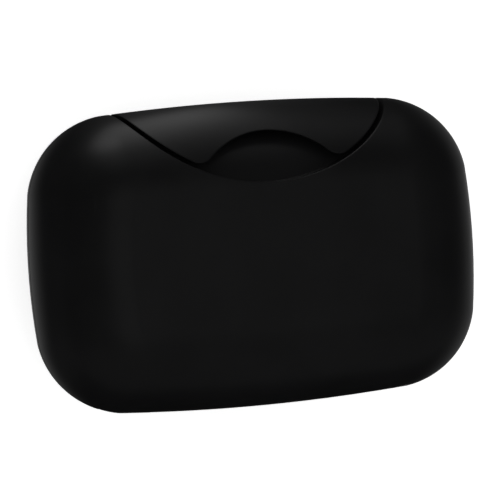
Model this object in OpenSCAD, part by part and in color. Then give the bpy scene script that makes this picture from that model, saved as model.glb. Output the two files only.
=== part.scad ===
// Travel soap box: a pillow-shaped clamshell with a flush flap latch, a rear pin hinge,
// a silicone seal and a lift-out drain tray. Units are millimetres.
// +X runs along the long side, the latch is on the -Y side, +Z is up and the lid is on top.
// The origin is the centre of the footprint, on the surface that the box rests on.

/* [Body] */
// Length of the box
body_l = 108; // [104:1:120]
// Width of the box, from the latch side to the hinge side
body_w = 72; // [70:1:82]
// Height of the closed box
body_h = 40; // [40:1:46]
// Radius that rounds the walls over into the top and the bottom
edge_r = 20; // [19:0.5:20]
// Corner radius seen from above
corner_r = 21; // [20.5:0.5:24]
// Radius of the slight bow of the two short sides
end_bow_r = 157; // [130:1:220]
// Radius of the slight bow of the two long sides
long_bow_r = 464; // [400:1:800]
// Wall thickness of both shells
wall = 2; // [1.6:0.1:2.4]
// Gap between the two rims at the parting line
part_gap = 0.3; // [0.2:0.05:0.5]

/* [Latch] */
// Radius of the round recess in the lid, seen from above
recess_r = 40; // [38:0.5:42]
// How far the recess reaches in from the front of the lid
recess_reach = 18.8; // [18:0.2:20]
// Depth of the recess that the flap lies in
recess_depth = 3; // [2.8:0.1:3.2]
// Wall thickness behind the recess and around the pivot and hinge channels
jog_wall = 1.7; // [1.5:0.1:1.8]
// Gap between the edge of the flap and the edge of its recess
latch_gap = 1.1; // [0.8:0.1:1.4]
// Thickness of the flap on the front of the box
latch_t = 2.2; // [2:0.1:2.3]
// How much thinner the flap gets where it lies on top of the lid
latch_thinning = 0.9; // [0.8:0.05:1]
// Radius of the finger scoop in the edge of the flap
scoop_r = 21; // [19:0.5:23]
// Distance from the front of the box to the middle of the finger scoop
scoop_inset = 7; // [6:0.5:8]
// Radius of the two rounded tips beside the finger scoop
tip_r = 4; // [3:0.25:5]
// Depth of the pivot below the parting line
pivot_drop = 6.5; // [6:0.25:7]
// Distance of the pivot axis behind the front of the box
pivot_in = 2.85; // [2.8:0.05:3]
// Half length of the pivot barrel
pivot_half = 31; // [29:0.5:31]
// Radius of the rounded lower corners of the flap
latch_corner_r = 3; // [2:0.25:4]
// Distance of each pivot ear from the middle
ear_x = 19; // [17:0.5:21]
// Width of each pivot ear
ear_w = 4; // [3:0.25:5]
// Radius of each pivot ear
ear_r = 1.9; // [1.8:0.05:2]
// Thickness of the web that carries each pivot ear
ear_web = 1.8; // [1.4:0.1:2]
// Length of each latch pin
latch_pin_l = 18.6; // [14:0.2:19]
// Angle that the flap opens to
latch_open = 127.5; // [100:2.5:127.5]
// Height of the snap rib above the parting line
snap_z = 3; // [2.5:0.25:4]
// Radius of the snap rib on the inside of the flap
snap_r = 0.9; // [0.8:0.05:1]
// Height of the snap rib, and depth of its groove in the lid
snap_h = 0.6; // [0.4:0.05:0.6]
// Half length of the snap rib
snap_half = 10; // [8:0.5:12]

/* [Hinge] */
// Distance of the hinge axis inside the rear outline
hinge_in = 2.7; // [2.6:0.05:2.8]
// Radius of the hinge barrel
barrel_r = 2.3; // [2.1:0.05:2.4]
// Half length of the hinge barrel
barrel_half = 28; // [26:0.5:29]
// Half length of the middle knuckle
knuckle_half = 8; // [6:0.5:10]
// Length of each knuckle of the lid
knuckle_l = 9.7; // [8:0.1:10]
// Gap between neighbouring knuckles
knuckle_gap = 0.3; // [0.2:0.05:0.4]
// Radius of the channel that the hinge barrel turns in
channel_r = 3.4; // [3.3:0.05:3.6]
// Angle that the lid opens to
lid_open = 85; // [70:1:85]
// Diameter of the steel pins
pin_d = 2; // [1.8:0.1:2.2]
// Radial clearance of a pin in its bore
pin_gap = 0.05; // [0.03:0.01:0.08]

/* [Seal] */
// Thickness of the raised lip on the base rim
lip_t = 1.4; // [1.2:0.1:1.8]
// Height of the lip above the parting line
lip_h = 2; // [1.6:0.1:2.4]
// Clearance between the lip and the wall of the lid
lip_gap = 0.35; // [0.3:0.05:0.5]
// Height of the solid rim below the lip
rim_h = 3; // [2.5:0.1:4]
// Width of the seal ring
seal_w = 2; // [1.8:0.1:2.4]
// Thickness of the seal ring
seal_t = 1.75; // [1.5:0.05:2.2]
// Thickness of the groove walls that hold the seal
groove_wall = 1.2; // [1:0.1:1.6]

/* [Tray] */
// Height of the tray's underside above the resting surface
tray_z = 7; // [6:0.25:8]
// Thickness of the tray's plate
tray_t = 1.6; // [1.2:0.1:2]
// Height of the tray's upright rim above its plate
tray_rim_h = 2.6; // [2:0.1:3.5]
// Clearance between the tray and the base
tray_gap = 0.5; // [0.4:0.05:0.8]
// Width of a drain slot
slot_w = 3; // [2.4:0.1:3.6]
// Length of the longest drain slots
slot_l = 38; // [30:0.5:40]
// Distance from one drain slot to the next
slot_pitch = 8; // [7:0.25:10]
// Number of drain slots
slot_n = 9; // [5:2:9]
// Height of the ribs that the soap lies on
rib_h = 1.2; // [0.8:0.1:1.8]
// Width of a rib
rib_w = 1.4; // [1.2:0.1:2]
// Diameter of the posts that carry the tray
post_d = 4.5; // [4:0.25:6]
// Distance of the posts from the middle, along the box
post_x = 34; // [32:0.5:35]
// Distance of the posts from the middle, across the box
post_y = 13; // [11:0.5:14]

/* [Hidden] */
$fn = 96;
bow_fn = 720;
shell_black = [0.07, 0.07, 0.075];
silicone_grey = [0.16, 0.16, 0.17];
pin_steel = [0.68, 0.69, 0.7];
// Overlap that joins two solids of one piece
fuse = 0.4;
// Size that reaches past everything
far = 200;
// Rounded corners and rims start this much outside the faces that they join, so that they meet
// these at a slight angle
proud = 0.05;
crest = 0.02;
// Clearances: beside the flap, round its pivot and its ears, at the ends of channels and pins
side_gap = 0.5;
pivot_gap = 0.4;
ear_gap = 0.3;
end_gap = 0.4;
pin_end_gap = 0.2;
// How far the barrels stay below the outer face
barrel_sink = 0.05;
barrel_trim = 0.2;
// Clearance of the hinge channel beyond the ends of the barrel
slim_gap = 0.3;
// Clearances of the seal above the lip and beside its groove
seal_rest = 0.05;
seal_side = 0.15;
// Angle kept free beside the web of an ear in its slot
web_free = 34;
// How much steeper the slope below the pivot is than the open flap, whose face is rounded
slope_free = 13;
// How much larger the snap groove is than the rib
snap_gap = 0.3;
// How many radii the wedges that trim a corner, a tip and a slope reach out
corner_reach = 2;
tip_reach = 1.5;
meet_reach = 3;
slope_reach = 2.5;
half_l = body_l / 2;
half_w = body_w / 2;
half_h = body_h / 2;
part_z = half_h;
straight_h = body_h - 2 * edge_r;
rim_z = part_gap / 2;
bore_r = pin_d / 2 + pin_gap;

// Centre of the corner arc that runs tangent into both side arcs of an outline
function corner_centre(line) =
    let (
        from_long = line[3] - line[4],
        from_end = line[2] - line[4],
        long_c = [0, line[1] - line[3]],
        end_c = [line[0] - line[2], 0],
        span = end_c - long_c,
        d = norm(span),
        along = (from_long * from_long - from_end * from_end + d * d) / (2 * d),
        off = sqrt(from_long * from_long - along * along),
        unit = span / d
    )
    long_c + along * unit + off * [-unit[1], unit[0]] * (unit[0] < 0 ? -1 : 1);

// How far the outer wall draws in at a height measured from the parting line
function draw_in(z, r, half) =
    let (up = max(abs(z) - (half - r), 0))
    r - sqrt(r * r - up * up);

// How far a bowed long side has drawn in at a distance from its middle
function bow(x) = long_bow_r - sqrt(long_bow_r * long_bow_r - x * x);

// An outline is half its length, half its width, the two bow radii and the corner radius
body_line = [half_l, half_w, end_bow_r, long_bow_r, corner_r];
body_c = corner_centre(body_line);

// Pivot of the flap and axis of the hinge, measured from the parting line
pivot_z = -pivot_drop;
pivot_y = -(half_w - draw_in(pivot_drop, edge_r, half_h) - pivot_in);
pivot_barrel_r = pivot_in - barrel_sink;
pivot_channel_r = pivot_barrel_r + pivot_gap;
pivot_jog_r = pivot_channel_r + jog_wall;
pivot_channel_half = pivot_half + side_gap;
hinge_y = half_w - hinge_in;
channel_jog_r = channel_r + jog_wall;
channel_half = barrel_half + end_gap;
slim_channel_r = hinge_in - bow(channel_half) + slim_gap;
slim_half = body_c[0] + sqrt(pow(corner_r, 2) - pow(hinge_y - body_c[1], 2)) + end_gap;
hinge_pin_in = knuckle_half / 2;
pin_sink = 1;
recess_y = -half_w + recess_reach - recess_r;
jog_depth = recess_depth + jog_wall;

// The snap rib on the inner face of the flap and its groove in the floor of the recess
rib_y = -half_w + latch_t - snap_r + snap_h
    + draw_in(snap_z - latch_thinning, edge_r - latch_t, half_h - latch_t);
groove_r = snap_r + snap_gap;
groove_y = -half_w + recess_depth - groove_r + snap_h
    + draw_in(snap_z, edge_r - recess_depth, half_h - recess_depth);

// Outline of the outer face of the lip: clear of the latch recess and the hinge channel
lip_front = half_w - jog_depth - lip_gap;
lip_rear = hinge_y - channel_jog_r - lip_gap;
lip_draw = wall + lip_gap;
lip_y = (lip_rear - lip_front) / 2;
lip_line = [
    half_l - lip_draw, (lip_front + lip_rear) / 2, end_bow_r - lip_draw,
    long_bow_r - jog_depth - lip_gap, corner_r - lip_draw
];
seal_z = lip_h + seal_rest;
seal_top = seal_z + seal_t;

// Outline of the tray: clear of the base wall and of the pivot channel above it
tray_bottom = tray_z - part_z;
tray_draw = draw_in(tray_bottom, edge_r - wall, half_h - wall) + wall + tray_gap;
tray_front = -pivot_y - pivot_jog_r - tray_gap;
tray_y = (half_w - tray_draw - tray_front) / 2;
tray_line = [
    half_l - tray_draw, (half_w - tray_draw + tray_front) / 2, end_bow_r - tray_draw,
    long_bow_r - tray_draw, corner_r - tray_draw / 2
];

// An outline with bowed sides and round corners, drawn in by inset
module plan(line, inset) {
    c = corner_centre(line);
    to_long = (c - [0, line[1] - line[3]]) / (line[3] - line[4]);
    to_end = (c - [line[0] - line[2], 0]) / (line[2] - line[4]);
    reach = corner_reach * line[4];
    difference() {
        intersection() {
            translate([0, line[1] - line[3]])
                circle(line[3] - inset, $fn = bow_fn);
            translate([0, line[3] - line[1]])
                circle(line[3] - inset, $fn = bow_fn);
            translate([line[0] - line[2], 0])
                circle(line[2] - inset, $fn = bow_fn);
            translate([line[2] - line[0], 0])
                circle(line[2] - inset, $fn = bow_fn);
        }
        for (side = [0, 1])
            for (end = [0, 1])
                mirror([end, 0])
                    mirror([0, side])
                        difference() {
                            polygon([
                                c, c + reach * to_end, c + reach * (to_end + to_long),
                                c + reach * to_long
                            ]);
                            translate(c)
                                circle(line[4] - inset + proud);
                        }
    }
}

module slab(line, inset, z0, z1) {
    translate([0, 0, z0])
        linear_extrude(z1 - z0)
            plan(line, inset);
}

// A flat ring that follows an outline, from one inset to another
module ring(line, outer_inset, inner_inset, z0, z1) {
    translate([0, 0, z0])
        linear_extrude(z1 - z0)
            difference() {
                plan(line, outer_inset);
                plan(line, inner_inset);
            }
}

// A flat round disc of the box's height with a fully rounded rim, drawn in by inset
module wheel(r, inset, fn) {
    half = half_h - inset;
    rotate_extrude($fn = fn)
        intersection() {
            union() {
                translate([0, -half])
                    square([r - edge_r, 2 * half]);
                for (s = straight_h > 0 ? [-1, 1] : [0])
                    translate([r - edge_r - crest, s * straight_h / 2])
                        circle(edge_r - inset + crest);
                if (straight_h > 0)
                    translate([0, -straight_h / 2])
                        square([r - inset, straight_h]);
            }
            translate([0, -half])
                square([2 * r, 2 * half]);
        }
}

// The pillow form of the box, drawn in all round by inset, centred on the parting plane
module pillow(inset) {
    to_long = (body_c - [0, half_w - long_bow_r]) / (long_bow_r - corner_r);
    to_end = (body_c - [half_l - end_bow_r, 0]) / (end_bow_r - corner_r);
    reach = corner_reach * corner_r;
    difference() {
        intersection() {
            translate([0, half_w - long_bow_r, 0])
                wheel(long_bow_r, inset, bow_fn);
            translate([0, long_bow_r - half_w, 0])
                wheel(long_bow_r, inset, bow_fn);
            translate([half_l - end_bow_r, 0, 0])
                wheel(end_bow_r, inset, bow_fn);
            translate([end_bow_r - half_l, 0, 0])
                wheel(end_bow_r, inset, bow_fn);
        }
        for (side = [0, 1])
            for (end = [0, 1])
                mirror([end, 0, 0])
                    mirror([0, side, 0])
                        difference() {
                            linear_extrude(2 * body_h, center = true)
                                polygon([
                                    body_c, body_c + reach * to_end,
                                    body_c + reach * (to_end + to_long), body_c + reach * to_long
                                ]);
                            translate([body_c[0], body_c[1], 0])
                                wheel(corner_r, inset - proud, $fn);
                        }
    }
}

module lip_ring(outer_inset, inner_inset, z0, z1) {
    translate([0, lip_y, 0])
        ring(lip_line, outer_inset, inner_inset, z0, z1);
}

// A round bar along X through a point of the side view
module bar(y, z, r, x0, x1) {
    translate([x0, y, z])
        rotate([0, 90, 0])
            cylinder(h = x1 - x0, r = r);
}

module above(z) {
    translate([-far / 2, -far / 2, z])
        cube([far, far, far]);
}

module recess_disc(grow) {
    translate([0, recess_y])
        circle(recess_r + grow);
}

// The space that the flap lies in, open to the outside
module recess_cut() {
    difference() {
        translate([0, 0, pivot_z])
            linear_extrude(half_h + far / 2)
                recess_disc(0);
        pillow(recess_depth);
    }
}

// The round channel of the pivot, with the slope that the open flap lies against
module pivot_cut() {
    open = 180 + latch_open;
    foot = pivot_channel_r * [cos(open), sin(open)];
    slope = [cos(open - 90 + slope_free), sin(open - 90 + slope_free)];
    reach = slope_reach * pivot_channel_r;
    out = foot + reach * slope;
    half = pivot_channel_half + side_gap;
    bar(pivot_y, pivot_z, pivot_channel_r, -pivot_channel_half, pivot_channel_half);
    translate([-half, pivot_y, pivot_z])
        rotate([90, 0, 90])
            linear_extrude(2 * half)
                polygon([[0, 0], foot, out, [-reach, out[1]], [-reach, 0]]);
}

module hinge_channel(grow) {
    bar(hinge_y, 0, channel_r + grow, -channel_half - grow, channel_half + grow);
    bar(hinge_y, 0, slim_channel_r + grow, -slim_half - grow, slim_half + grow);
}

// The rear rim of the base falls off beside the hinge channel, clear of the wall of the open lid
module lid_fall(r, half) {
    foot = r * [cos(lid_open), -sin(lid_open)];
    out = foot + corner_reach * r * [sin(lid_open), cos(lid_open)];
    translate([-half, hinge_y, 0])
        rotate([90, 0, 90])
            linear_extrude(2 * half)
                polygon([[0, 0], foot, out, [out[0], 0]]);
}

// Solid wall that stays behind the recess, the pivot and the hinge
module jog_solid() {
    difference() {
        translate([0, 0, pivot_z])
            linear_extrude(half_h + far / 2)
                recess_disc(jog_wall);
        pillow(jog_depth);
    }
    bar(pivot_y, pivot_z, pivot_jog_r, -pivot_channel_half - jog_wall, pivot_channel_half + jog_wall);
    hinge_channel(jog_wall);
}

// The hollow inside both shells; its children are what stands in it
module hollow() {
    difference() {
        pillow(wall);
        jog_solid();
        children();
    }
}

// The solid rim between the outer wall and an outline inside it
module rim(inner_inset, z0, z1) {
    difference() {
        translate([-far / 2, -far / 2, z0])
            cube([far, far, z1 - z0]);
        translate([0, lip_y, 0])
            slab(lip_line, inner_inset, z0 - fuse, z1 + fuse);
    }
}

// One hinge knuckle with its web; up is 1 on the lid and -1 on the base
module knuckle(x0, x1, up) {
    web_z = up > 0 ? rim_z : -barrel_r;
    intersection() {
        union() {
            bar(hinge_y, 0, barrel_r, x0, x1);
            translate([x0, hinge_y - channel_r - fuse, web_z])
                cube([x1 - x0, channel_r + fuse, barrel_r - rim_z]);
        }
        translate([0, half_w - long_bow_r, -channel_r])
            cylinder(h = 2 * channel_r, r = long_bow_r - barrel_trim, $fn = bow_fn);
    }
}

module pivot_ear() {
    bar(pivot_y, pivot_z, ear_r, ear_x - ear_w / 2, ear_x + ear_w / 2);
    translate([ear_x - ear_w / 2, pivot_y, pivot_z - ear_web / 2])
        cube([ear_w, pivot_channel_r + fuse, ear_web]);
}

// The slot in the flap's barrel that an ear and its web sit in while the flap turns
module ear_slot() {
    x0 = ear_x - ear_w / 2 - ear_gap;
    w = ear_w + 2 * ear_gap;
    turn = latch_open + 2 * web_free;
    reach = 2 * pivot_barrel_r;
    steps = 4;
    bar(pivot_y, pivot_z, ear_r + ear_gap, x0, x0 + w);
    translate([x0, pivot_y, pivot_z])
        rotate([90, 0, 90])
            linear_extrude(w)
                polygon(concat([[0, 0]], [
                    for (i = [0 : steps])
                        let (a = web_free - i * turn / steps)
                        reach * [cos(a), sin(a)]
                ]));
}

// Outline of the flap seen from above: a round field with a finger scoop and two round tips
module flap_plan() {
    edge = recess_r - latch_gap;
    edge_c = [0, recess_y];
    scoop_c = [0, -half_w + scoop_inset + scoop_r];
    apart = scoop_c[1] - edge_c[1];
    tip_up = (pow(edge - tip_r, 2) - pow(scoop_r + tip_r, 2) + apart * apart) / (2 * apart);
    tip_x = sqrt(pow(edge - tip_r, 2) - tip_up * tip_up);
    tip = edge_c + [tip_x, tip_up];
    meet_up = (edge * edge - scoop_r * scoop_r + apart * apart) / (2 * apart);
    meet = edge_c + [sqrt(edge * edge - meet_up * meet_up), meet_up];
    to_edge = tip_reach * tip_r * (tip - edge_c) / norm(tip - edge_c);
    to_scoop = tip_reach * tip_r * (scoop_c - tip) / norm(scoop_c - tip);
    difference() {
        translate(edge_c)
            circle(edge);
        translate(scoop_c)
            circle(scoop_r);
        for (s = [0, 1])
            mirror([s, 0])
                difference() {
                    polygon([
                        tip, tip + to_edge, tip + meet_reach * (meet - tip), tip + to_scoop
                    ]);
                    translate(tip)
                        circle(tip_r + proud);
                }
        translate([-far / 2, -half_w + 2 * recess_reach])
            square([far, far]);
    }
}

// Front view of the lower end of the flap, with its rounded lower corners
module flap_foot() {
    low = pivot_z - pivot_barrel_r;
    translate([-pivot_half, low + latch_corner_r])
        square([2 * pivot_half, far]);
    translate([-pivot_half + latch_corner_r, low])
        square([2 * (pivot_half - latch_corner_r), far]);
    for (s = [-1, 1])
        translate([s * (pivot_half - latch_corner_r), low + latch_corner_r])
            circle(latch_corner_r);
}

module base_shell() {
    color(shell_black)
        translate([0, 0, part_z]) {
            difference() {
                difference() {
                    pillow(0);
                    above(-rim_z);
                }
                hollow()
                    rim(lip_t, -rim_h, fuse);
                recess_cut();
                pivot_cut();
                hinge_channel(0);
                lid_fall(channel_r, channel_half);
                lid_fall(slim_channel_r, slim_half);
            }
            lip_ring(0, lip_t, -rim_h / 2, lip_h);
            for (s = [-1, 1])
                for (t = [-1, 1])
                    translate([s * post_x, t * post_y + tray_y, -half_h + wall / 2])
                        cylinder(h = tray_bottom + half_h - wall / 2, d = post_d);
            difference() {
                union() {
                    knuckle(-knuckle_half, knuckle_half, -1);
                    for (s = [0, 1])
                        mirror([s, 0, 0])
                            knuckle(knuckle_half + knuckle_l + 2 * knuckle_gap, barrel_half, -1);
                }
                for (s = [0, 1])
                    mirror([s, 0, 0])
                        bar(hinge_y, 0, bore_r, hinge_pin_in - pin_end_gap, barrel_half + fuse);
            }
            for (s = [0, 1])
                mirror([s, 0, 0])
                    difference() {
                        pivot_ear();
                        bar(pivot_y, pivot_z, bore_r, ear_x - ear_w, ear_x + ear_w);
                    }
        }
}

module lid_shell() {
    color(shell_black)
        translate([0, 0, part_z]) {
            difference() {
                intersection() {
                    union() {
                        difference() {
                            pillow(0);
                            hollow();
                        }
                        intersection() {
                            union() {
                                lip_ring(
                                    -lip_draw - wall, seal_w + groove_wall, seal_top,
                                    seal_top + groove_wall
                                );
                                lip_ring(
                                    seal_w + 2 * seal_side, seal_w + groove_wall, lip_h + part_gap,
                                    seal_top + groove_wall
                                );
                            }
                            pillow(wall / 2);
                        }
                    }
                    above(rim_z);
                }
                recess_cut();
                hinge_channel(0);
                bar(groove_y, snap_z, groove_r, -snap_half - snap_gap, snap_half + snap_gap);
            }
            difference() {
                for (s = [0, 1])
                    mirror([s, 0, 0])
                        knuckle(
                            knuckle_half + knuckle_gap, knuckle_half + knuckle_gap + knuckle_l, 1
                        );
                bar(hinge_y, 0, bore_r, -barrel_half, barrel_half);
            }
        }
}

module latch() {
    color(shell_black)
        translate([0, 0, part_z])
            difference() {
                union() {
                    intersection() {
                        difference() {
                            pillow(0);
                            translate([0, 0, latch_thinning])
                                pillow(latch_t);
                        }
                        translate([0, 0, pivot_z])
                            linear_extrude(half_h + far / 2)
                                flap_plan();
                    }
                    intersection() {
                        pillow(0);
                        bar(pivot_y, pivot_z, pivot_barrel_r, -pivot_half, pivot_half);
                        rotate([90, 0, 0])
                            linear_extrude(far)
                                flap_foot();
                    }
                    bar(rib_y, snap_z, snap_r, -snap_half, snap_half);
                }
                for (s = [0, 1])
                    mirror([s, 0, 0]) {
                        ear_slot();
                        bar(
                            pivot_y, pivot_z, bore_r, ear_x - latch_pin_l / 2 - pin_end_gap,
                            pivot_half + fuse
                        );
                    }
            }
}

module seal_ring() {
    color(silicone_grey)
        translate([0, 0, part_z])
            lip_ring(seal_side, seal_w + seal_side, seal_z, seal_top);
}

// A slot with round ends along Y
module drain_slot(l) {
    square([slot_w, l - slot_w], center = true);
    for (t = [-1, 1])
        translate([0, t * (l - slot_w) / 2])
            circle(d = slot_w);
}

module drain_tray() {
    color(shell_black)
        translate([0, tray_y, tray_z]) {
            difference() {
                slab(tray_line, 0, 0, tray_t);
                translate([0, 0, -fuse])
                    linear_extrude(tray_t + 2 * fuse)
                        for (i = [0 : slot_n - 1])
                            translate([(i - (slot_n - 1) / 2) * slot_pitch, 0])
                                drain_slot(slot_l - (i == 0 || i == slot_n - 1 ? 2 * slot_pitch : 0));
            }
            ring(tray_line, 0, rib_w, tray_t - fuse, tray_t + tray_rim_h);
            for (i = [0 : slot_n - 2])
                translate([
                    (i + 0.5 - (slot_n - 1) / 2) * slot_pitch - rib_w / 2, -slot_l / 2,
                    tray_t - fuse
                ])
                    cube([rib_w, slot_l, rib_h + fuse]);
        }
}

module hinge_pin() {
    color(pin_steel)
        translate([0, 0, part_z])
            bar(hinge_y, 0, pin_d / 2, hinge_pin_in, barrel_half - pin_sink);
}

module latch_pin() {
    color(pin_steel)
        translate([0, 0, part_z])
            bar(
                pivot_y, pivot_z, pin_d / 2, ear_x - latch_pin_l / 2, ear_x + latch_pin_l / 2
            );
}

module hinge_pin_left() {
    mirror([1, 0, 0])
        hinge_pin();
}

module hinge_pin_right() {
    hinge_pin();
}

module latch_pin_left() {
    mirror([1, 0, 0])
        latch_pin();
}

module latch_pin_right() {
    latch_pin();
}

base_shell();
lid_shell();
latch();
seal_ring();
drain_tray();
hinge_pin_left();
hinge_pin_right();
latch_pin_left();
latch_pin_right();
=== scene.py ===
"""Travel soap box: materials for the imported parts, a pale floor, soft light and the camera."""

import math

import bpy
from mathutils import Matrix, Vector


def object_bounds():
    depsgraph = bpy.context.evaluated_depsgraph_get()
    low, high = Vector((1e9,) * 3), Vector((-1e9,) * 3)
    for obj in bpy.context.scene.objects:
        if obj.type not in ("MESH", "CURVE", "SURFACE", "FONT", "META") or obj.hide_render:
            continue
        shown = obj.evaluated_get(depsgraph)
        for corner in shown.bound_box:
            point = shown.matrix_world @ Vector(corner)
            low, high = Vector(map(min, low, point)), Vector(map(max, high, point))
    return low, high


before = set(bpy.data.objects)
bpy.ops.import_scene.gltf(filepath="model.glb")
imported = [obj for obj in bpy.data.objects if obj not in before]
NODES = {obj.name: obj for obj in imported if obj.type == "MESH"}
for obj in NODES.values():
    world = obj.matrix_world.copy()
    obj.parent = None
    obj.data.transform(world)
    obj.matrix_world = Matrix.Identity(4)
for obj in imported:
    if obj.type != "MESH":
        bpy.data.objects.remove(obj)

bl_info = {
    "name": "Travel soap box",
    "version": (1, 0, 0),
    "blender": (4, 5, 0),
    "location": "3D View > Sidebar > Soap box",
    "description": "Dresses the packed travel soap box and sets up its studio",
    "category": "Object",
}

MM = 0.001
LOW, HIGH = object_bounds()
CENTRE = Vector(((LOW.x + HIGH.x) / 2, 0, (LOW.z + HIGH.z) / 2))

# Outline of the box from above: half length, half width, the bows of the ends and of the long
# sides, the corners, and the radius that rounds the walls over into the top and the bottom
HALF_L, HALF_W = 54 * MM, 36 * MM
END_BOW, LONG_BOW = 157 * MM, 464 * MM
CORNER, RIM = 21 * MM, 20 * MM
# Faces within this cosine of the box's own rounded form take that form's direction
SAME_FORM = math.cos(math.radians(7))

# The studio is white to the eye and evenly lit. Gloss sees a dark room instead.
WHITE = (1.0, 1.0, 1.0, 1.0)
FLOOR_PAINT = (0.8, 0.8, 0.8, 1.0)
FLOOR_GLOW = 0.62
EVEN_LIGHT = 0.8
# Directions of the low softbox beyond the latch and of the light above it
SOFTBOX = Vector((0.08, -1.0, -0.01)).normalized()
UPPER_LIGHT = Vector((0.0, -0.92, 0.38)).normalized()
# Each glow: its direction, how many degrees off it ends and how many off it is full, its brightness
GLOWS = [(SOFTBOX, 22, 5, 0.88), (SOFTBOX, 46, 12, 0.05), (UPPER_LIGHT, 28, 6, 0.2)]
# Brightness of the ceiling, the back wall and the rest of the dark room
CEILING, BACK_WALL, DARK_ROOM = 0.15, 0.06, 0.005
# Brightness of the dark floor beside both ends, more beside the left end, wide of the left end,
# behind the corners, in front, and all over. Left is that of someone who faces the latch.
BY_ENDS, BY_LEFT_END, WIDE_OF_LEFT_END = 0.3, 0.15, 0.14
BEHIND_CORNERS, IN_FRONT, ALL_OVER = 0.06, 0.009, 0.003


class Wire:
    """One output socket; sums of wires add Math nodes."""

    def __init__(self, board, socket):
        self.board = board
        self.socket = socket

    def _math(self, operation, *values):
        return self.board.add("ShaderNodeMath", {"operation": operation}, dict(enumerate(values)))

    def __add__(self, other):
        return self._math("ADD", self, other)

    def __radd__(self, other):
        return self._math("ADD", other, self)

    def __sub__(self, other):
        return self._math("SUBTRACT", self, other)

    def __rsub__(self, other):
        return self._math("SUBTRACT", other, self)

    def __mul__(self, other):
        return self._math("MULTIPLY", self, other)

    def __rmul__(self, other):
        return self._math("MULTIPLY", other, self)

    def __truediv__(self, other):
        return self._math("DIVIDE", self, other)

    def __pow__(self, other):
        return self._math("POWER", self, other)

    def size(self):
        return self._math("ABSOLUTE", self)

    def sign(self):
        return self._math("SIGN", self)

    def above(self, limit):
        return self._math("GREATER_THAN", self, limit)

    def at_least(self, limit):
        return self._math("MAXIMUM", self, limit)

    def clamp(self):
        return self.board.add("ShaderNodeClamp", {}, {"Value": self, "Min": 0.0, "Max": 1.0})

    def over(self, start, end):
        """0 below start, 1 above end, with a smooth ramp between them."""
        return self.board.add(
            "ShaderNodeMapRange",
            {"interpolation_type": "SMOOTHSTEP"},
            {"Value": self, "From Min": start, "From Max": end, "To Min": 0.0, "To Max": 1.0},
        )


class Board:
    """The node tree of a material or of the world."""

    def __init__(self, owner):
        owner.use_nodes = True
        self.owner = owner
        self.tree = owner.node_tree
        self.tree.nodes.clear()

    def add(self, kind, settings, values, output=0):
        """A node with its settings, and the values or wires of its sockets."""
        node = self.tree.nodes.new(kind)
        for name, value in settings.items():
            setattr(node, name, value)
        for name, value in values.items():
            if isinstance(value, Wire):
                self.tree.links.new(value.socket, node.inputs[name])
            else:
                node.inputs[name].default_value = value
        return Wire(self, node.outputs[output]) if node.outputs else None

    def place(self):
        """Object coordinates, in metres."""
        return self.add("ShaderNodeTexCoord", {}, {}, "Object")

    def stretched(self, scale):
        """Object coordinates multiplied along each axis."""
        return self.add("ShaderNodeMapping", {}, {"Vector": self.place(), "Scale": scale})

    def axes(self, vector):
        return [
            self.add("ShaderNodeSeparateXYZ", {}, {"Vector": vector}, axis)
            for axis in ("X", "Y", "Z")
        ]

    def vector_math(self, operation, values, output=0):
        return self.add("ShaderNodeVectorMath", {"operation": operation}, values, output)

    def noise(self, where, size, detail, rough):
        """Noise between 0 and 1 whose patches are about size metres across."""
        return self.add(
            "ShaderNodeTexNoise",
            {},
            {"Vector": where, "Scale": 1 / size, "Detail": detail, "Roughness": rough},
        )

    def tint(self, factor, first, second):
        """A colour between two colours."""
        return self.add(
            "ShaderNodeMix", {"data_type": "RGBA"}, {0: factor, 6: first, 7: second}, 2
        )

    def bump(self, height, depth, normal):
        """Normals with a fine relief on top of them."""
        return self.add(
            "ShaderNodeBump",
            {},
            {"Height": height, "Distance": depth, "Strength": 1.0, "Normal": normal},
        )

    def rounded(self, radius):
        """Normals that round off the part's edges."""
        return self.add("ShaderNodeBevel", {"samples": 6}, {"Radius": radius})

    def pillow_form(self):
        """Direction of the box's rounded form: from the core line of its rim to the point."""
        x, y, z = self.axes(self.place())
        across, along = x.size(), y.size()
        core, to_long, to_end = corner_core()
        from_x, from_y = across - core.x, along - core.y
        on_long = (from_y * to_long.x - from_x * to_long.y).above(0.0)
        on_end = (from_x * to_end.y - from_y * to_end.x).above(0.0) * (1 - on_long)
        on_corner = 1 - on_long - on_end
        way_x = on_long * across + on_end * (across + (END_BOW - HALF_L)) + on_corner * from_x
        way_y = on_long * (along + (LONG_BOW - HALF_W)) + on_end * along + on_corner * from_y
        radius = on_long * LONG_BOW + on_end * END_BOW + on_corner * CORNER
        reach = (way_x * way_x + way_y * way_y) ** 0.5
        out = (reach - radius + RIM).at_least(0.0) / reach
        form = self.add(
            "ShaderNodeCombineXYZ",
            {},
            {"X": way_x * out * x.sign(), "Y": way_y * out * y.sign(), "Z": z - CENTRE.z},
        )
        return self.add(
            "ShaderNodeVectorTransform",
            {"vector_type": "NORMAL", "convert_from": "OBJECT", "convert_to": "WORLD"},
            {"Vector": self.vector_math("NORMALIZE", {0: form})},
        )

    def eased(self, radius):
        """Normals of the pillow form inside and out, with the edges rounded off."""
        edged = self.rounded(radius)
        form = self.pillow_form()
        match = self.vector_math("DOT_PRODUCT", {0: form, 1: edged}, "Value")
        faced = self.vector_math("SCALE", {0: form, 3: match.sign()})
        return self.add(
            "ShaderNodeMix",
            {"data_type": "VECTOR"},
            {0: match.size().above(SAME_FORM), 4: edged, 5: faced},
            1,
        )

    def surface(self, **values):
        """The finished surface, each value named as its socket with _ for a space."""
        shader = self.add(
            "ShaderNodeBsdfPrincipled",
            {},
            {name.replace("_", " "): value for name, value in values.items()},
        )
        self.add("ShaderNodeOutputMaterial", {}, {"Surface": shader})


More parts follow.
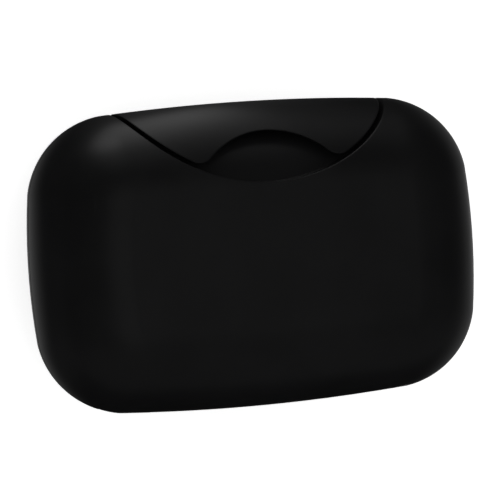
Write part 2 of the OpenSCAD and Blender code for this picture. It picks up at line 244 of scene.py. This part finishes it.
def corner_core():
    """Middle of a corner's arc, and the ways from it to where the arc meets its two sides."""
    long_core, end_core = Vector((0, HALF_W - LONG_BOW)), Vector((HALF_L - END_BOW, 0))
    from_long, from_end = LONG_BOW - CORNER, END_BOW - CORNER
    span = end_core - long_core
    unit = span.normalized()
    along = (from_long**2 - from_end**2 + span.length**2) / (2 * span.length)
    off = math.sqrt(from_long**2 - along**2)
    core = long_core + along * unit + off * Vector((unit.y, -unit.x))
    return core, (core - long_core).normalized(), (core - end_core).normalized()


def rgba(colour, factor=1.0):
    return (*[c * factor for c in colour], 1.0)


def moulded_plastic(name, colour, roughness, grain, edge, pillow=True):
    """Injection-moulded plastic: spark-eroded grain, faint flow clouds and handling marks."""
    board = Board(bpy.data.materials.new(name))
    place = board.place()
    clouds = board.noise(place, size=18 * MM, detail=4.0, rough=0.55)
    grains = board.noise(place, size=grain, detail=2.0, rough=0.6)
    front_to_back = board.stretched((1.0, 0.12, 0.3))
    rubs = board.noise(front_to_back, size=0.7 * MM, detail=3.0, rough=0.65).over(0.62, 0.74)
    clouded = board.tint(clouds.over(0.3, 0.7), rgba(colour, 0.88), rgba(colour, 1.14))
    uneven = clouds * 0.08 + grains * 0.05 + rubs * 0.05
    usual_uneven = 0.07
    board.surface(
        Base_Color=board.tint(rubs * 0.25, clouded, rgba(colour, 1.8)),
        Roughness=(uneven + (roughness - usual_uneven)).clamp(),
        Specular_IOR_Level=0.42,
        Normal=board.bump(
            grains,
            depth=0.012 * MM,
            normal=board.eased(edge) if pillow else board.rounded(edge),
        ),
    )
    return board.owner


def soft_silicone(name, colour):
    """Silicone: matt, slightly lighter where dust and skin oil sit."""
    board = Board(bpy.data.materials.new(name))
    place = board.place()
    clouds = board.noise(place, size=6 * MM, detail=4.0, rough=0.6)
    dust = board.noise(place, size=0.5 * MM, detail=2.0, rough=0.7).over(0.6, 0.75)
    least_rough = 0.56
    board.surface(
        Base_Color=board.tint(dust * 0.2 + clouds * 0.15, rgba(colour), rgba(colour, 1.5)),
        Roughness=(clouds * 0.12 + least_rough).clamp(),
        Specular_IOR_Level=0.4,
        Normal=board.bump(clouds, depth=0.02 * MM, normal=board.rounded(0.2 * MM)),
    )
    return board.owner


def drawn_steel(name, colour):
    """Ground steel wire, with fine rings round the pin."""
    board = Board(bpy.data.materials.new(name))
    round_pin = board.stretched((1.0, 0.05, 0.05))
    rings = board.noise(round_pin, size=0.15 * MM, detail=2.0, rough=0.5)
    least_rough = 0.22
    board.surface(
        Base_Color=board.tint(rings, rgba(colour, 0.85), rgba(colour, 1.05)),
        Metallic=1.0,
        Roughness=(rings * 0.12 + least_rough).clamp(),
        Normal=board.bump(rings, depth=0.004 * MM, normal=board.rounded(0.1 * MM)),
    )
    return board.owner


def dress(names, material):
    """Puts a material on CAD nodes, in all their slots."""
    for name in names:
        slots = NODES[name].data.materials
        if not slots:
            slots.append(material)
        for i in range(len(slots)):
            slots[i] = material


def colour_choice(label, description, colour):
    """A colour that the user can change."""
    return bpy.props.FloatVectorProperty(
        name=label,
        description=description,
        subtype="COLOR",
        size=3,
        min=0.0,
        max=1.0,
        default=colour,
    )


def angle_choice(label, description, degrees):
    """An angle that the user can change."""
    return bpy.props.FloatProperty(
        name=label, description=description, subtype="ANGLE", default=math.radians(degrees)
    )


class SoapBoxFinish(bpy.types.PropertyGroup):
    """Colours and finish of the pieces"""

    shell_colour: colour_choice(
        "Shell colour", "Colour of the two shells and the flap", (0.0046, 0.0046, 0.0049)
    )
    shell_roughness: bpy.props.FloatProperty(
        name="Shell roughness",
        description="How matt the moulded plastic is",
        subtype="FACTOR",
        min=0.05,
        max=1.0,
        default=0.34,
    )
    shell_edge: bpy.props.FloatProperty(
        name="Edge rounding",
        description="Radius that the edges of the moulded parts are eased with",
        subtype="DISTANCE",
        unit="LENGTH",
        min=0.0,
        max=1.0 * MM,
        default=0.5 * MM,
    )
    tray_colour: colour_choice("Tray colour", "Colour of the drain tray", (0.0095, 0.0095, 0.01))
    seal_colour: colour_choice("Seal colour", "Colour of the silicone seal", (0.022, 0.022, 0.024))
    pin_colour: colour_choice("Pin colour", "Colour of the steel pins", (0.6, 0.61, 0.62))


class SoapBoxStudio(bpy.types.PropertyGroup):
    """Where the camera stands"""

    distance: bpy.props.FloatProperty(
        name="Camera distance",
        description="Distance from the camera to the middle of the box",
        subtype="DISTANCE",
        unit="LENGTH",
        min=0.3,
        max=2.0,
        default=0.6287,
    )
    lens: bpy.props.FloatProperty(
        name="Lens",
        description="Focal length for a sensor 36 mm wide",
        subtype="DISTANCE_CAMERA",
        min=50.0,
        max=400.0,
        default=191.48,
    )
    swing: angle_choice(
        "Camera swing", "How far the camera stands to the right of straight above the lid", 16.51
    )
    tilt: angle_choice("Camera tilt", "How far the camera stands towards the latch", 3.14)
    roll: angle_choice("Camera roll", "Turn of the picture about its middle", 3.66)


class SOAPBOX_OT_shells(bpy.types.Operator):
    """Give the base, the lid and the flap their moulded plastic"""

    bl_idname = "soapbox.shells"
    bl_label = "Dress the shells and the flap"

    def execute(self, context):
        look = context.scene.soapbox_finish
        for material, names in (
            ("satin_black_shell", ["base_shell", "lid_shell"]),
            ("satin_black_flap", ["latch"]),
        ):
            plastic = moulded_plastic(
                material,
                look.shell_colour,
                look.shell_roughness,
                grain=0.3 * MM,
                edge=look.shell_edge,
            )
            dress(names, plastic)
        return {"FINISHED"}


class SOAPBOX_OT_tray(bpy.types.Operator):
    """Give the drain tray its fine matt plastic"""

    bl_idname = "soapbox.tray"
    bl_label = "Dress the drain tray"

    def execute(self, context):
        plastic = moulded_plastic(
            "matt_black_tray",
            context.scene.soapbox_finish.tray_colour,
            roughness=0.52,
            grain=0.4 * MM,
            edge=0.2 * MM,
            pillow=False,
        )
        dress(["drain_tray"], plastic)
        return {"FINISHED"}


class SOAPBOX_OT_seal(bpy.types.Operator):
    """Give the seal ring its silicone"""

    bl_idname = "soapbox.seal"
    bl_label = "Dress the seal"

    def execute(self, context):
        look = context.scene.soapbox_finish
        dress(["seal_ring"], soft_silicone("dark_silicone", look.seal_colour))
        return {"FINISHED"}


class SOAPBOX_OT_pins(bpy.types.Operator):
    """Give the hinge and latch pins their ground steel"""

    bl_idname = "soapbox.pins"
    bl_label = "Dress the pins"

    def execute(self, context):
        look = context.scene.soapbox_finish
        dress(
            ["hinge_pin_left", "hinge_pin_right", "latch_pin_left", "latch_pin_right"],
            drawn_steel("ground_steel", look.pin_colour),
        )
        return {"FINISHED"}


def softbox_glow(board, way):
    """How bright the softbox beyond the latch and the light above it look along a unit direction."""
    side, back, up = board.axes(way)
    total = None
    for middle, ends, full, brightness in GLOWS:
        facing = side * middle.x + back * middle.y + up * middle.z
        edge, heart = math.cos(math.radians(ends)), math.cos(math.radians(full))
        glow = facing.over(edge, heart) * brightness
        total = glow if total is None else total + glow
    return total


def dark_floor(board):
    """How bright gloss sees the floor: dark, with a glow beside the ends of the box."""
    place = board.place()
    way = board.vector_math("NORMALIZE", {0: board.vector_math("SUBTRACT", {0: place, 1: CENTRE})})
    x, y = board.axes(place)[:2]
    behind = y.over(0.0, 60 * MM)
    left = (0 - x).over(0.0, 30 * MM)
    aside = board.axes(way)[0].size().over(0.62, 0.98)
    in_half_boxes = board.vector_math("DIVIDE", {0: place, 1: (HALF_L, HALF_W, 1.0)})
    from_middle = board.vector_math("LENGTH", {0: in_half_boxes}, "Value")
    near = 1 - from_middle.over(1.0, 1.8)
    wide = 1 - from_middle.over(1.5, 5.0)
    beside = near * (left * BY_LEFT_END + BY_ENDS) + left * wide * WIDE_OF_LEFT_END
    lit = softbox_glow(board, way) + aside * (beside + behind * BEHIND_CORNERS)
    return lit + (1 - behind) * IN_FRONT + ALL_OVER


def pale_floor():
    """A floor that is white to the eye and takes the box's shadow. Gloss sees it dark, and it is
    clear from below, so that the underside can be looked at."""
    floor_size, below_box = 12.0, 0.01 * MM
    bpy.ops.object.select_all(action="DESELECT")
    bpy.ops.mesh.primitive_plane_add(size=floor_size, location=(0, 0, LOW.z - below_box))
    floor = bpy.context.object
    floor.name = "floor"
    board = Board(bpy.data.materials.new("pale_floor"))
    camera = board.add("ShaderNodeLightPath", {}, {}, "Is Camera Ray")
    glossy = board.add("ShaderNodeLightPath", {}, {}, "Is Glossy Ray")
    paint = board.add("ShaderNodeBsdfDiffuse", {}, {"Color": FLOOR_PAINT})
    glow = board.add("ShaderNodeEmission", {}, {"Color": WHITE, "Strength": FLOOR_GLOW})
    both = board.add("ShaderNodeAddShader", {}, {0: paint, 1: glow})
    dark = board.add("ShaderNodeEmission", {}, {"Color": WHITE, "Strength": dark_floor(board)})
    shader = board.add("ShaderNodeMixShader", {}, {0: camera, 1: paint, 2: both})
    shader = board.add("ShaderNodeMixShader", {}, {0: glossy, 1: shader, 2: dark})
    below = board.add("ShaderNodeNewGeometry", {}, {}, "Backfacing")
    clear = board.add("ShaderNodeBsdfTransparent", {}, {})
    shader = board.add("ShaderNodeMixShader", {}, {0: below, 1: shader, 2: clear})
    board.add("ShaderNodeOutputMaterial", {}, {"Surface": shader})
    floor.data.materials.append(board.owner)


def studio_sky():
    """Even soft light, white to the eye. Gloss sees a dark room, lit beyond the latch."""
    world = bpy.data.worlds.new("studio_sky")
    bpy.context.scene.world = world
    board = Board(world)
    camera = board.add("ShaderNodeLightPath", {}, {}, "Is Camera Ray")
    glossy = board.add("ShaderNodeLightPath", {}, {}, "Is Glossy Ray")
    way = board.add("ShaderNodeTexCoord", {}, {}, "Generated")
    back, up = board.axes(way)[1:]
    ceiling = up.over(0.9, 0.98) * CEILING
    wall = back.over(0.0, 0.7) * BACK_WALL
    seen = softbox_glow(board, way) + ceiling + wall + DARK_ROOM
    level = EVEN_LIGHT + (seen - EVEN_LIGHT) * glossy
    level = level + (1 - level) * camera
    sky = board.add("ShaderNodeBackground", {}, {"Color": WHITE, "Strength": level})
    board.add("ShaderNodeOutputWorld", {}, {"Surface": sky})


def key_softbox():
    """A rectangular lamp beyond the latch, a little above the softbox that the gloss shows."""
    distance, lift = 0.9, 0.1
    lamp = bpy.data.lights.new("key_softbox", "AREA")
    lamp.shape = "RECTANGLE"
    lamp.size = 0.4
    lamp.size_y = 0.25
    lamp.energy = 0.1
    holder = bpy.data.objects.new("key_softbox", lamp)
    holder.location = CENTRE + SOFTBOX * distance + Vector((0, 0, lift))
    holder.rotation_mode = "QUATERNION"
    holder.rotation_quaternion = (CENTRE - holder.location).to_track_quat("-Z", "Y")
    bpy.context.scene.collection.objects.link(holder)


def photo_camera(look):
    """The camera stands almost above the lid, with the latch at the top of the picture."""
    swing, tilt, roll = look.swing, look.tilt, look.roll
    level_reach = math.cos(tilt)
    away = Vector((math.sin(swing) * level_reach, -math.sin(tilt), math.cos(swing) * level_reach))
    right = Vector((-math.cos(swing), 0, math.sin(swing)))
    up = away.cross(right)
    picture_right = right * math.cos(roll) - up * math.sin(roll)
    picture_up = up * math.cos(roll) + right * math.sin(roll)
    camera = bpy.data.cameras.new("photo_camera")
    camera.lens = look.lens
    camera.sensor_width = 36.0
    # The box stands a little off the middle of the picture
    camera.shift_x = -0.0076
    camera.shift_y = 0.0067
    camera.clip_start = 0.01
    camera.clip_end = 50.0
    holder = bpy.data.objects.new("photo_camera", camera)
    turn = Matrix((picture_right, picture_up, away)).transposed()
    holder.matrix_world = Matrix.Translation(CENTRE + away * look.distance) @ turn.to_4x4()
    bpy.context.scene.collection.objects.link(holder)
    bpy.context.scene.camera = holder


class SOAPBOX_OT_studio(bpy.types.Operator):
    """Set up the pale floor, the soft light and the camera"""

    bl_idname = "soapbox.studio"
    bl_label = "Set up the studio"

    def execute(self, context):
        pale_floor()
        studio_sky()
        key_softbox()
        photo_camera(context.scene.soapbox_studio)
        context.scene.view_settings.view_transform = "Standard"
        return {"FINISHED"}


class SOAPBOX_PT_tools(bpy.types.Panel):
    """The steps that dress the soap box and set up its studio"""

    bl_label = "Soap box"
    bl_space_type = "VIEW_3D"
    bl_region_type = "UI"
    bl_category = "Soap box"

    def draw(self, context):
        for group in (context.scene.soapbox_finish, context.scene.soapbox_studio):
            for name in group.__annotations__:
                self.layout.prop(group, name)
        for step in STEPS:
            self.layout.operator(step.bl_idname)


STEPS = [
    SOAPBOX_OT_shells,
    SOAPBOX_OT_tray,
    SOAPBOX_OT_seal,
    SOAPBOX_OT_pins,
    SOAPBOX_OT_studio,
]
CLASSES = [SoapBoxFinish, SoapBoxStudio, *STEPS, SOAPBOX_PT_tools]


def register():
    for kind in CLASSES:
        bpy.utils.register_class(kind)
    bpy.types.Scene.soapbox_finish = bpy.props.PointerProperty(type=SoapBoxFinish)
    bpy.types.Scene.soapbox_studio = bpy.props.PointerProperty(type=SoapBoxStudio)


def unregister():
    del bpy.types.Scene.soapbox_finish
    del bpy.types.Scene.soapbox_studio
    for kind in reversed(CLASSES):
        bpy.utils.unregister_class(kind)


def main():
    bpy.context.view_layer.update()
    register()
    bpy.ops.soapbox.shells()
    bpy.ops.soapbox.tray()
    bpy.ops.soapbox.seal()
    bpy.ops.soapbox.pins()
    bpy.ops.soapbox.studio()


if __name__ == "__main__":
    main()
